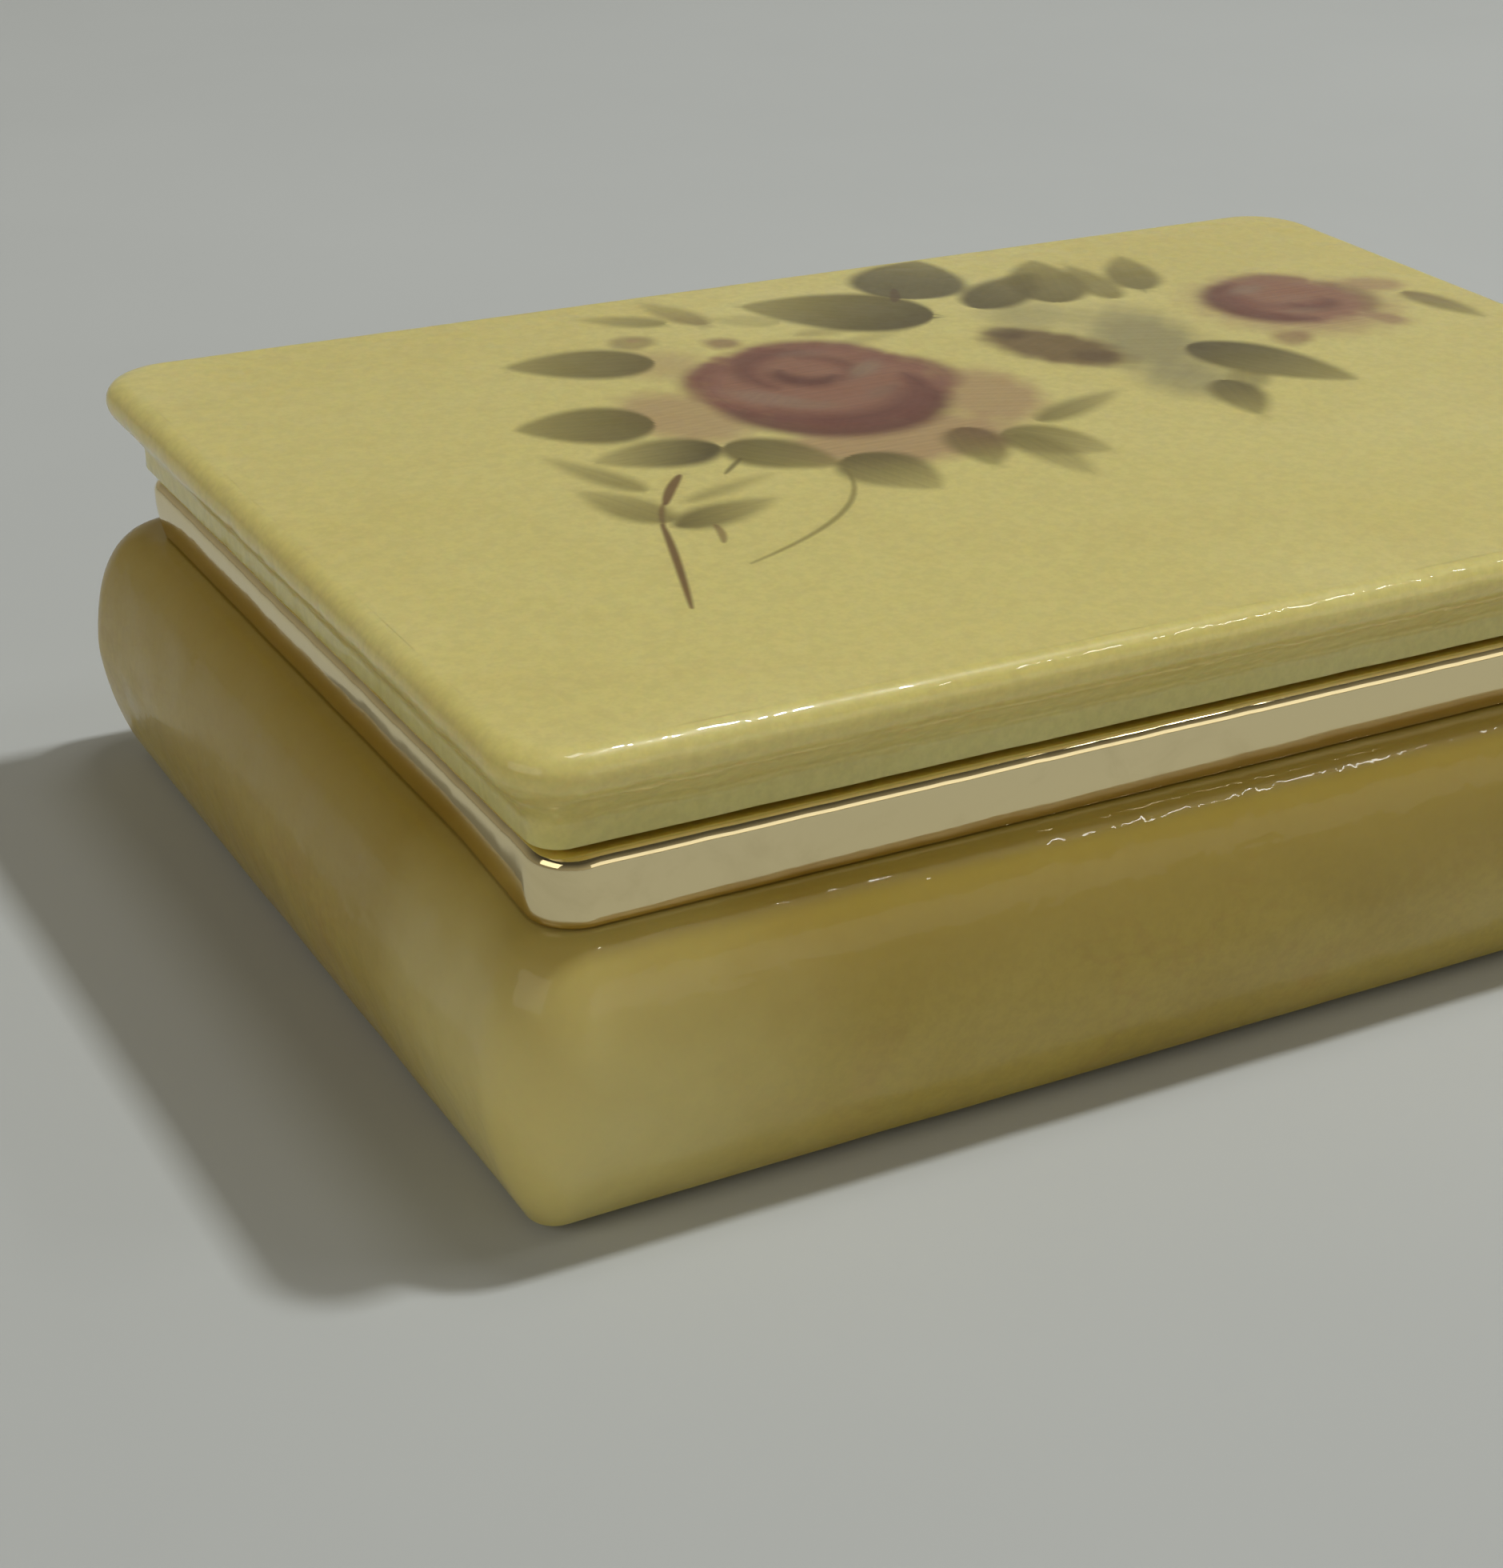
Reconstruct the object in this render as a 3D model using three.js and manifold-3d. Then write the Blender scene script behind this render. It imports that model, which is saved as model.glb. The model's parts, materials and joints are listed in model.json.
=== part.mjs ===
// Carved stone trinket box with a brass-mounted hinged lid.
// Millimetres, +Z up. The origin is the middle of the footprint, on the surface the box stands on.
// +X runs along the long side and +Y points to the hinge, so the box opens towards -Y.
//
// Every stone and brass outline is a rounded rectangle, so a cross-section is written as a list of
// [offset, height] points: offset is the distance outside its outline, negative inside it. The
// outline's corner function gives the corner radius there.

import * as THREE from 'three';
import { ParametricGeometry } from 'three/addons/geometries/ParametricGeometry.js';
import { mergeVertices } from 'three/addons/utils/BufferGeometryUtils.js';
import Module from 'manifold-3d';

const wasm = await Module();
wasm.setup();

// ---------------------------------------------------------------- driving dimensions

// The brass mounts sit a little towards the front of the stone, which leaves a shelf for the hinge.
const COLLAR = { halfLength: 51, halfWidth: 34, centreY: -0.5, corner: collarCorner };
const LID = { halfLength: 51, halfWidth: 34, centreY: 0.25, corner: lidCorner };    // the lid's neck
const BODY = { halfLength: 51, halfWidth: 34.75, centreY: 0, corner: bodyCorner };  // its shoulder

// Corner radii: the stone is ground round where it swells and left nearly square at foot and neck.
const COLLAR_CORNER = 3;
const FOOT_CORNER = 1.2;
const BULGE_CORNER = 5;
const SHOULDER_CORNER = 3;
const NECK_CORNER = 2;
const LID_CORNER = 4.6;
const SMALLEST_CORNER = 1.2;
const CORNER_GROWTH = 0.25;   // how much of an outward offset a corner radius gains elsewhere
const CORNER_STEPS = 8;
const GLUE = 0.1;             // glue line between stone and brass

const PAD_THICKNESS = 0.5;
const PAD_OFFSET = -3.5;

const BASE_OFFSET = 0.7;      // the stone's bottom edge
const BASE_ROUND = 0.4;
const BULGE = 4;              // how far the body swells beyond its shoulder
const BULGE_HEIGHT = 9.8;
const LOWER_POWER = 1.42;     // superellipse powers of the swelling, below and above its widest line
const UPPER_POWER = 2.1;
const SHOULDER_HEIGHT = 18.8; // where stone stops and the collar starts
const WALL = 6;               // from the collar's outline to the cavity
const FLOOR_HEIGHT = 5.6;
const FLOOR_FILLET = 2;

const COLLAR_TOP = 23.3;
const BAND = 1;               // thickness of the collar's outer band
const BAND_LEAN = 0.2;        // how far its lower edge leans in
const LEDGE = 0.9;            // thickness of its flat top
const SKIRT = 0.8;            // thickness of the lip inside the mouth
const SKIRT_DEPTH = 2.4;
const COLLAR_FILLET = 0.9;

const LID_BOTTOM = COLLAR_TOP + 0.3;
const NECK_HEIGHT = 1.2;
const FLARE = 2.5;            // how far the lid overhangs its neck
const FLARE_HEIGHT = 5.3;     // height of the lid's widest line above its underside
const LID_ROUND = 1.45;
const CROWN = 0.3;            // how far the lid's top rises towards its middle
const LID_HOLLOW_DEPTH = 3.2;
const LID_HOLLOW_OFFSET = -9;
const SEAT_DEPTH = 1;         // rebate for the lid frame, in the lid's underside

const FRAME_OFFSET = -2.4;
const FRAME_BOTTOM = COLLAR_TOP + 0.12;
const LIP_CLEARANCE = 0.4;    // between the lid frame's lip and the collar's skirt
const LIP_THICKNESS = 0.8;
const LIP_DEPTH = 1.3;

const COLLAR_BACK = COLLAR.centreY + COLLAR.halfWidth;
const HINGE_Y = COLLAR_BACK + 1.2;
const HINGE_Z = COLLAR_TOP - 1.3;
const KNUCKLE_RADIUS = 0.9;
const BORE_RADIUS = 0.47;
const PIN_RADIUS = 0.4;
const PIN_HEAD_RADIUS = 0.7;
const PIN_HEAD_LENGTH = 0.35;
const KNUCKLES = 7;
const KNUCKLE_GAP = 0.3;
const BARREL_HALF_LENGTH = 48.9;
const LEAF_HALF_LENGTH = 46.9;
const LEAF_THICKNESS = 0.6;
const TAB_OVERLAP = 0.4;      // how far a knuckle's tab runs into its leaf
const BODY_LEAF_BOTTOM = SHOULDER_HEIGHT + 0.3;
const BODY_LEAF_TOP = HINGE_Z - 1.3;
const LID_LEAF_FRONT = COLLAR_BACK + FRAME_OFFSET + GLUE;
const LID_LEAF_BACK = COLLAR_BACK + 0.5;
const LID_TAB_FRONT = COLLAR_BACK + 0.3;

const CUT_MARGIN = 5;         // how far a cutting solid runs past the face that it opens
const STEP_QUARTER = 6;       // steps in a quarter round

// ---------------------------------------------------------------- solids

/** Turns a closed three.js geometry into a manifold solid. */
function toSolid(geometry) {
  geometry.deleteAttribute('normal');
  geometry.deleteAttribute('uv');
  const merged = mergeVertices(geometry, 1e-4);
  const index = merged.index.array;
  const faces = [];
  for (let i = 0; i < index.length; i += 3) {
    const [a, b, c] = index.slice(i, i + 3);
    if (a !== b && b !== c && c !== a) faces.push(a, b, c);
  }
  return new wasm.Manifold(new wasm.Mesh({
    numProp: 3,
    vertProperties: new Float32Array(merged.attributes.position.array),
    triVerts: new Uint32Array(faces),
  }));
}

/** Names a manifold solid and gives it a material, as a three.js mesh. */
function toMesh(name, solid, material) {
  const { vertProperties, triVerts } = solid.getMesh();
  const geometry = new THREE.BufferGeometry();
  geometry.setAttribute('position', new THREE.BufferAttribute(vertProperties, 3));
  geometry.setIndex(new THREE.BufferAttribute(triVerts, 1));
  geometry.computeVertexNormals();
  const mesh = new THREE.Mesh(geometry, material);
  mesh.name = name;
  return mesh;
}

/** The value a share of the way from one to another. */
function between(from, to, share) {
  return from + (to - from) * share;
}

function collarCorner(offset) {
  return COLLAR_CORNER + CORNER_GROWTH * offset;
}

function bodyCorner(offset, height) {
  if (height > BULGE_HEIGHT) return between(SHOULDER_CORNER, BULGE_CORNER, offset / BULGE);
  return between(FOOT_CORNER, BULGE_CORNER, (offset - BASE_OFFSET) / (BULGE - BASE_OFFSET));
}

function lidCorner(offset, height) {
  if (height < LID_BOTTOM + FLARE_HEIGHT) return between(NECK_CORNER, LID_CORNER, offset / FLARE);
  return LID_CORNER + CORNER_GROWTH * (offset - FLARE);
}

/** A point of a rounded rectangle: step counts round the outline, from the +X side towards +Y. */
function outlinePoint(step, outline, offset, height, target) {
  const perCorner = CORNER_STEPS + 1;
  const corner = Math.floor(step / perCorner) % 4;
  const angle = (corner + (step % perCorner) / CORNER_STEPS) * Math.PI / 2;
  const halfLength = outline.halfLength + offset;
  const halfWidth = outline.halfWidth + offset;
  const round = Math.max(outline.corner(offset, height), SMALLEST_CORNER);
  const signX = corner === 0 || corner === 3 ? 1 : -1;
  const signY = corner < 2 ? 1 : -1;
  target.x = signX * (halfLength - round) + round * Math.cos(angle);
  target.y = outline.centreY + signY * (halfWidth - round) + round * Math.sin(angle);
  target.z = height;
}

/** Skins a list of rows, [offset, height] each; a null offset is the middle of a flat cap. */
function skin(outline, rows) {
  const slices = 4 * (CORNER_STEPS + 1);
  const stacks = rows.length - 1;
  const geometry = new ParametricGeometry((u, v, target) => {
    const [offset, height] = rows[Math.round(v * stacks)];
    if (offset === null) target.set(0, outline.centreY, height);
    else outlinePoint(Math.round(u * slices) % slices, outline, offset, height, target);
  }, slices, stacks);
  return toSolid(geometry);
}

/** A filled solid: the rows climb its side, and flat caps close it. */
function block(outline, rows) {
  const bottom = rows[0][1];
  const top = rows[rows.length - 1][1];
  return skin(outline, [[null, bottom], ...rows, [null, top]]);
}

/** A frame: the rows run up its outside, over the top and down its inside. */
function ring(outline, rows) {
  return skin(outline, [...rows, rows[0]]);
}

/** A quarter round from one [offset, height] to another; it leaves the first one upright. */
function quarterRound([fromOffset, fromHeight], [toOffset, toHeight], steps = STEP_QUARTER) {
  const rows = [];
  for (let i = 0; i <= steps; i++) {
    const angle = (i / steps) * Math.PI / 2;
    rows.push([
      toOffset + (fromOffset - toOffset) * Math.cos(angle),
      fromHeight + (toHeight - fromHeight) * Math.sin(angle),
    ]);
  }
  return rows;
}

/** A box from its lowest corner to its highest. */
function boxBetween(low, high) {
  const size = high.map((value, axis) => value - low[axis]);
  const geometry = new THREE.BoxGeometry(...size);
  geometry.translate(...low.map((value, axis) => value + size[axis] / 2));
  return toSolid(geometry);
}

/** A round bar on the hinge axis, between two places along X. */
function hingeBar(radius, from, to) {
  const geometry = new THREE.CylinderGeometry(radius, radius, to - from, 24);
  geometry.rotateZ(Math.PI / 2);
  geometry.translate((from + to) / 2, HINGE_Y, HINGE_Z);
  return toSolid(geometry);
}

// ---------------------------------------------------------------- materials

const metal = (color, roughness) => new THREE.MeshStandardMaterial({ color, roughness, metalness: 1 });
const dull = (color, roughness) => new THREE.MeshStandardMaterial({ color, roughness, metalness: 0 });

const MATERIALS = {
  bodyStone: dull('#c9b877', 0.3),
  lidStone: dull('#d4c789', 0.2),
  collarBrass: metal('#d8b766', 0.15),
  frameBrass: metal('#c9a44f', 0.22),
  hingeBrass: metal('#b98f3f', 0.3),
  pinSteel: metal('#9a9a98', 0.35),
  felt: dull('#3c4a37', 0.95),
};

// ---------------------------------------------------------------- stone box

/** How far the body's side stands outside its shoulder, at a height. */
function bodyOffset(height) {
  if (height > BULGE_HEIGHT) {
    const rise = (height - BULGE_HEIGHT) / (SHOULDER_HEIGHT - BULGE_HEIGHT);
    return BULGE * (1 - rise ** UPPER_POWER) ** (1 / UPPER_POWER);
  }
  const drop = (BULGE_HEIGHT - height) / (BULGE_HEIGHT - PAD_THICKNESS);
  return BASE_OFFSET + (BULGE - BASE_OFFSET) * (1 - drop ** LOWER_POWER) ** (1 / LOWER_POWER);
}

function bodySide() {
  const rows = [[BASE_OFFSET - BASE_ROUND, PAD_THICKNESS]];
  const steps = 20;
  for (let i = 1; i < steps; i++) {
    // closer together at both ends, where the side turns fastest
    const share = (1 - Math.cos(Math.PI * i / steps)) / 2;
    const height = PAD_THICKNESS + share * (SHOULDER_HEIGHT - PAD_THICKNESS);
    rows.push([bodyOffset(height), height]);
  }
  rows.push([0, SHOULDER_HEIGHT]);
  return rows;
}

/** The rim that the collar caps; it stands on the shoulder, inside the collar's band. */
function rim() {
  const offset = -BAND - GLUE;
  return block(COLLAR, [[offset, SHOULDER_HEIGHT - 1], [offset, COLLAR_TOP - LEDGE - GLUE]]);
}

function cavity() {
  const floorEdge = -WALL - FLOOR_FILLET;
  const fillet = quarterRound([-WALL, FLOOR_HEIGHT + FLOOR_FILLET], [floorEdge, FLOOR_HEIGHT]).reverse();
  return block(COLLAR, [...fillet, [-WALL, COLLAR_TOP + CUT_MARGIN]]);
}

function alabasterBody() {
  const stone = block(BODY, bodySide()).add(rim()).subtract(cavity());
  return toMesh('alabaster_body', stone, MATERIALS.bodyStone);
}

function feltBasePad() {
  const pad = block(BODY, [[PAD_OFFSET, 0], [PAD_OFFSET, PAD_THICKNESS]]);
  return toMesh('felt_base_pad', pad, MATERIALS.felt);
}

// ---------------------------------------------------------------- collar on the box

function bodyCollar() {
  const bottom = SHOULDER_HEIGHT + GLUE;
  const inside = -WALL - GLUE;
  const collar = ring(COLLAR, [
    [-BAND_LEAN, bottom],
    ...quarterRound([0, COLLAR_TOP - COLLAR_FILLET], [-COLLAR_FILLET, COLLAR_TOP]),
    [inside - SKIRT, COLLAR_TOP],
    [inside - SKIRT, COLLAR_TOP - SKIRT_DEPTH],
    [inside, COLLAR_TOP - SKIRT_DEPTH],
    [inside, COLLAR_TOP - LEDGE],
    [-BAND, COLLAR_TOP - LEDGE],
    [-BAND, bottom],
  ]);
  return toMesh('body_collar', collar, MATERIALS.collarBrass);
}

// ---------------------------------------------------------------- lid

function lidSide() {
  const neckTop = LID_BOTTOM + NECK_HEIGHT;
  const widest = LID_BOTTOM + FLARE_HEIGHT;
  const rows = [[0, LID_BOTTOM]];
  const steps = 8;
  for (let i = 0; i < steps; i++) {
    const swing = (1 - Math.cos(Math.PI * i / steps)) / 2;
    rows.push([FLARE * swing, neckTop + (widest - neckTop) * i / steps]);
  }
  return rows.concat(quarterRound([FLARE, widest], [FLARE - LID_ROUND, widest + LID_ROUND]));
}

function lidTop() {
  const edge = FLARE - LID_ROUND;
  const height = LID_BOTTOM + FLARE_HEIGHT + LID_ROUND;
  const rows = [];
  const steps = 6;
  for (let i = 1; i < steps; i++) {
    const inward = i / steps;
    const reach = LID.halfWidth + edge - SMALLEST_CORNER;
    rows.push([edge - inward * reach, height + CROWN * (1 - (1 - inward) ** 2)]);
  }
  return rows;
}

/** The rebate for the lid frame, and the shallow hollow that it leads into. */
function lidUnderside() {
  const seatOffset = FRAME_OFFSET + GLUE;
  const seat = block(COLLAR, [[seatOffset, LID_BOTTOM - CUT_MARGIN], [seatOffset, LID_BOTTOM + SEAT_DEPTH]]);
  const roof = LID_BOTTOM + LID_HOLLOW_DEPTH;
  const hollow = block(COLLAR, [
    [LID_HOLLOW_OFFSET, LID_BOTTOM - CUT_MARGIN],
    ...quarterRound([LID_HOLLOW_OFFSET, roof - 1], [LID_HOLLOW_OFFSET - 1, roof]),
  ]);
  return seat.add(hollow);
}

function lidLeafSlot() {
  return boxBetween(
    [-LEAF_HALF_LENGTH - GLUE, LID_LEAF_FRONT - 2 * GLUE, LID_BOTTOM - CUT_MARGIN],
    [LEAF_HALF_LENGTH + GLUE, LID_LEAF_BACK + CUT_MARGIN, FRAME_BOTTOM + LEAF_THICKNESS + GLUE],
  );
}

function alabasterLid() {
  const stone = block(LID, [...lidSide(), ...lidTop()]).subtract(lidUnderside()).subtract(lidLeafSlot());
  return toMesh('alabaster_lid', stone, MATERIALS.lidStone);
}

function lidFrame() {
  const top = LID_BOTTOM + SEAT_DEPTH - GLUE;
  const lipOutside = -WALL - GLUE - SKIRT - LIP_CLEARANCE;
  const frame = ring(COLLAR, [
    [lipOutside, COLLAR_TOP - LIP_DEPTH],
    [lipOutside, FRAME_BOTTOM],
    [FRAME_OFFSET, FRAME_BOTTOM],
    [FRAME_OFFSET, top],
    [lipOutside - LIP_THICKNESS, top],
    [lipOutside - LIP_THICKNESS, COLLAR_TOP - LIP_DEPTH],
  ]);
  return toMesh('lid_frame', frame, MATERIALS.frameBrass);
}

// ---------------------------------------------------------------- hinge

/** The two ends of each knuckle along X; even ones belong to the box and odd ones to the lid. */
function knuckleSpans(firstKnuckle) {
  const pitch = 2 * BARREL_HALF_LENGTH / KNUCKLES;
  const spans = [];
  for (let i = firstKnuckle; i < KNUCKLES; i += 2) {
    const start = -BARREL_HALF_LENGTH + i * pitch;
    spans.push([start + KNUCKLE_GAP / 2, start + pitch - KNUCKLE_GAP / 2]);
  }
  return spans;
}

/** A leaf with its knuckles: tabAt gives the low and high corners of the tab under one knuckle. */
function hingeLeaf(name, strip, firstKnuckle, tabAt) {
  let leaf = strip;
  for (const [from, to] of knuckleSpans(firstKnuckle)) {
    const tab = tabAt(Math.max(from, -LEAF_HALF_LENGTH), Math.min(to, LEAF_HALF_LENGTH));
    leaf = leaf.add(tab).add(hingeBar(KNUCKLE_RADIUS, from, to));
  }
  const bore = hingeBar(BORE_RADIUS, -BARREL_HALF_LENGTH - CUT_MARGIN, BARREL_HALF_LENGTH + CUT_MARGIN);
  return toMesh(name, leaf.subtract(bore), MATERIALS.hingeBrass);
}

function hingeLeafBody() {
  const front = COLLAR_BACK + GLUE;
  const back = front + LEAF_THICKNESS;
  const strip = boxBetween(
    [-LEAF_HALF_LENGTH, front, BODY_LEAF_BOTTOM],
    [LEAF_HALF_LENGTH, back, BODY_LEAF_TOP],
  );
  const tabAt = (from, to) => boxBetween([from, front, BODY_LEAF_TOP - TAB_OVERLAP], [to, back, HINGE_Z]);
  return hingeLeaf('hinge_leaf_body', strip, 0, tabAt);
}

function hingeLeafLid() {
  const top = FRAME_BOTTOM + LEAF_THICKNESS;
  const strip = boxBetween(
    [-LEAF_HALF_LENGTH, LID_LEAF_FRONT, FRAME_BOTTOM],
    [LEAF_HALF_LENGTH, LID_LEAF_BACK, top],
  );
  const tabAt = (from, to) => boxBetween(
    [from, LID_TAB_FRONT, HINGE_Z],
    [to, LID_TAB_FRONT + LEAF_THICKNESS, top],
  );
  return hingeLeaf('hinge_leaf_lid', strip, 1, tabAt);
}

/** The wire that joins the leaves, with both ends hammered over into small heads. */
function hingePin() {
  const end = BARREL_HALF_LENGTH;
  const shaft = hingeBar(PIN_RADIUS, -end - PIN_HEAD_LENGTH, end + PIN_HEAD_LENGTH);
  const heads = [-1, 1].map((side) => {
    const ends = [side * end, side * (end + PIN_HEAD_LENGTH)].sort((a, b) => a - b);
    return hingeBar(PIN_HEAD_RADIUS, ...ends);
  });
  return toMesh('hinge_pin', shaft.add(heads[0]).add(heads[1]), MATERIALS.pinSteel);
}

// ---------------------------------------------------------------- assembly

const lidAssembly = new THREE.Group();
lidAssembly.add(alabasterLid(), lidFrame(), hingeLeafLid());

const boxAssembly = new THREE.Group();
boxAssembly.add(alabasterBody(), bodyCollar(), hingeLeafBody(), hingePin(), feltBasePad());

const trinketBox = new THREE.Group();
trinketBox.add(boxAssembly, lidAssembly);

export default trinketBox;
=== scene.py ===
import json
import math

import bpy
import numpy as np
from mathutils import Matrix, Vector
from mathutils.geometry import delaunay_2d_cdt


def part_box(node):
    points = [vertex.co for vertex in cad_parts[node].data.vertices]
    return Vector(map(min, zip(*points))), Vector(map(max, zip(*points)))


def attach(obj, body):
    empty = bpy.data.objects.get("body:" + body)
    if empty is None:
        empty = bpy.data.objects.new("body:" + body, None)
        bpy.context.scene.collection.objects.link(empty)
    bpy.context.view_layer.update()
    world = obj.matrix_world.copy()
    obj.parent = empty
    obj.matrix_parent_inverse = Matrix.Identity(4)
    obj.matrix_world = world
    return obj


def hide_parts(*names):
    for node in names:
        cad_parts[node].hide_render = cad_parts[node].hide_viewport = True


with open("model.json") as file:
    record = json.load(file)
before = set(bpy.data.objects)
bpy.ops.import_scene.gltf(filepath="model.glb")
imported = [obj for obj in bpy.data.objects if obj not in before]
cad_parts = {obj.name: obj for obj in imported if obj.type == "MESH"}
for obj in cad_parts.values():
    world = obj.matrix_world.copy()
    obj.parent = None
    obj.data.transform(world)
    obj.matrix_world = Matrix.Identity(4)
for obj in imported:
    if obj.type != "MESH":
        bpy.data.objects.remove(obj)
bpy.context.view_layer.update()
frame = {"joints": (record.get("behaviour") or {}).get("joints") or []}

MM = 0.001


# ---------------------------------------------------------------- sizes, from the frame

BASE_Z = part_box("alabaster_body")[0].z / MM
COLLAR_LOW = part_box("body_collar")[0].z / MM
COLLAR_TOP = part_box("body_collar")[1].z / MM
LID_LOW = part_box("alabaster_lid")[0].z / MM
LID_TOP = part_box("alabaster_lid")[1].z / MM

# corner radii, seen from above
FOOT_CORNER = 1.2
BULGE_CORNER = 5.0
SHOULDER_CORNER = 3.0
NECK_CORNER = 2.0
LIP_CORNER = 4.6
COLLAR_CORNER = 3.0
PAD_CORNER = 1.3
SMALLEST_CORNER = 1.2
CORNER_GROWTH = 0.25   # how much of an outward offset a corner radius gains elsewhere

GLUE = 0.1             # glue line between stone and brass
SHOULDER_Z = COLLAR_LOW - GLUE

BASE_OFFSET = 0.7      # the stone's bottom edge
BASE_ROUND = 0.5
BULGE = 4.0            # how far the body swells beyond its shoulder
BULGE_Z = 9.8
LOWER_POWER = 1.42     # superellipse powers of the swelling, below and above its widest line
UPPER_POWER = 2.1
WALL = 6.0
FLOOR_Z = 5.6
FLOOR_FILLET = 2.0

BAND = 1.0             # the collar: its outer band, its flat ledge and the skirt in the mouth
BAND_FOOT = 0.5        # how thick the band is left at its foot
LEDGE = 0.9
SKIRT = 0.8
SKIRT_DEPTH = 2.4
COLLAR_FILLET = 0.9
SKIRT_FILLET = 0.4
SEAM_BEVEL = 0.12      # broken edge on the brass

LIP_CLEARANCE = 0.4    # the lid frame: from its lip to the collar's skirt, and the lip itself
LIP_THICKNESS = 0.8
LIP_DEPTH = 1.3
FRAME_PROUD = 0.18     # how far it stands below the lid's stone

NECK_HEIGHT = 1.2
FLARE = 2.5            # how far the lid overhangs its neck
FLARE_HEIGHT = 5.3
LID_ROUND = 1.45
LID_EDGE_Z = LID_LOW + FLARE_HEIGHT + LID_ROUND
SEAT_OFFSET = -2.3
SEAT_DEPTH = 1.0
HOLLOW_OFFSET = -9.0
HOLLOW_DEPTH = 3.2
SLOT_DEPTH = 0.52      # rebate in the lid's back edge for the hinge leaf

HINGE_Y, HINGE_Z = (value / MM for value in frame["joints"][0]["pos_m"][1:])
KNUCKLES = 7
KNUCKLE_RADIUS = 0.9
BORE_RADIUS = 0.47
PIN_RADIUS = 0.4
PIN_HEAD_RADIUS = 0.7
KNUCKLE_GAP = 0.3
BARREL_HALF = 48.9
LEAF_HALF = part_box("hinge_leaf_lid")[1].x / MM
LEAF_THICKNESS = 0.6
LEAF_DROP = 1.3        # from the hinge line down to the box leaf's strip
TAB_OVERLAP = 0.4      # how far a knuckle's tab runs into its leaf
TAB_SETBACK = 0.2      # how far the lid leaf's tabs stand behind the box leaf's face
STRIP_OVERLAP = 0.2    # how far its strip runs into them


def between(start, end, share):
    """The value that lies a share of the way from one to another."""
    return start + (end - start) * share


def body_corner(offset, z):
    """The body is nearly square at its foot and ground round where it swells."""
    if z > BULGE_Z:
        return between(SHOULDER_CORNER, BULGE_CORNER, offset / BULGE)
    return between(FOOT_CORNER, BULGE_CORNER, (offset - BASE_OFFSET) / (BULGE - BASE_OFFSET))


def lid_corner(offset, z):
    """The lid's neck is nearly square too, and the lip above it is round."""
    if z < LID_LOW + FLARE_HEIGHT:
        return between(NECK_CORNER, LIP_CORNER, offset / FLARE)
    return LIP_CORNER + CORNER_GROWTH * (offset - FLARE)


class Outline:
    """A rounded rectangle seen from above: half its size, its centre, and its corner radius at an
    offset outwards and a height."""

    def __init__(self, node, overhang, corner):
        low, high = (np.array(point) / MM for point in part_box(node))
        self.half = (high[:2] - low[:2]) / 2 - overhang
        self.centre = (high[:2] + low[:2]) / 2
        self.corner = corner


BODY = Outline("alabaster_body", BULGE, body_corner)
COLLAR = Outline("body_collar", 0.0, lambda offset, z: COLLAR_CORNER + CORNER_GROWTH * offset)
LID = Outline("alabaster_lid", FLARE, lid_corner)
PAD = Outline("felt_base_pad", 0.0, lambda offset, z: PAD_CORNER)


# ---------------------------------------------------------------- skins

CORNER_STEPS = 14
SIDE_STEPS = (104, 68)   # along the long and the short straight sides
SIDE_ENDS = 0.003        # the first and last step sit this close to the corners, as a share
SHARP_ANGLE = math.radians(32)   # edges that turn more than this stay crisp
SIGNS = np.array([(1, 1), (-1, 1), (-1, -1), (1, -1)])
LOOP_SIZE = 4 * (CORNER_STEPS + 1) + 2 * sum(SIDE_STEPS)
BACK_SIDE = slice(CORNER_STEPS + 1, CORNER_STEPS + 1 + SIDE_STEPS[0])


def loop(outline, offset, z):
    """Points and outward directions round an outline, offset outwards, from its +X side towards +Y."""
    half = outline.half + offset
    radius = max(outline.corner(offset, z), SMALLEST_CORNER)
    centres = outline.centre + SIGNS * (half - radius)
    points, outward = [], []
    for corner in range(4):
        angles = (corner + np.linspace(0, 1, CORNER_STEPS + 1)) * math.pi / 2
        round_ = np.stack([np.cos(angles), np.sin(angles)], 1)
        arc = centres[corner] + radius * round_
        last = round_[-1]
        shares = np.linspace(SIDE_ENDS, 1 - SIDE_ENDS, SIDE_STEPS[corner % 2])[:, None]
        step = centres[(corner + 1) % 4] + radius * last - arc[-1]
        points += [arc, arc[-1] + shares * step]
        outward += [round_, np.repeat(last[None], len(shares), 0)]
    return np.concatenate(points), np.concatenate(outward)


def quarter(start, end, steps=8):
    """A quarter round from one (offset, z) to another that leaves the first one upright."""
    turn = np.linspace(0, math.pi / 2, steps + 1)
    offsets = end[0] + (start[0] - end[0]) * np.cos(turn)
    heights = start[1] + (end[1] - start[1]) * np.sin(turn)
    return list(zip(offsets, heights))


def skin(rows, closed=False, carve=None):
    """Points and faces of a skin through loops: rows are (outline, offset, z), and carve(points, z)
    says how far each point sinks in. The first and last loops are capped unless the skin is closed."""
    points = []
    for outline, offset, z in rows:
        flat, outward = loop(outline, offset, z)
        heights = np.full(len(flat), float(z))
        if carve is not None:
            flat = flat - outward * carve(flat, heights)[:, None]
        points.append(np.column_stack([flat, heights]))
    count = len(rows)
    ring = np.arange(LOOP_SIZE)
    following = np.roll(ring, -1)
    faces = []
    for row in range(count if closed else count - 1):
        low, high = row * LOOP_SIZE, (row + 1) % count * LOOP_SIZE
        faces.append(np.stack([low + ring, low + following, high + following, high + ring], 1))
    faces = np.concatenate(faces).tolist()
    if not closed:
        faces.append(ring[::-1].tolist())
        faces.append((ring + (count - 1) * LOOP_SIZE).tolist())
    return np.concatenate(points), faces


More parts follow.
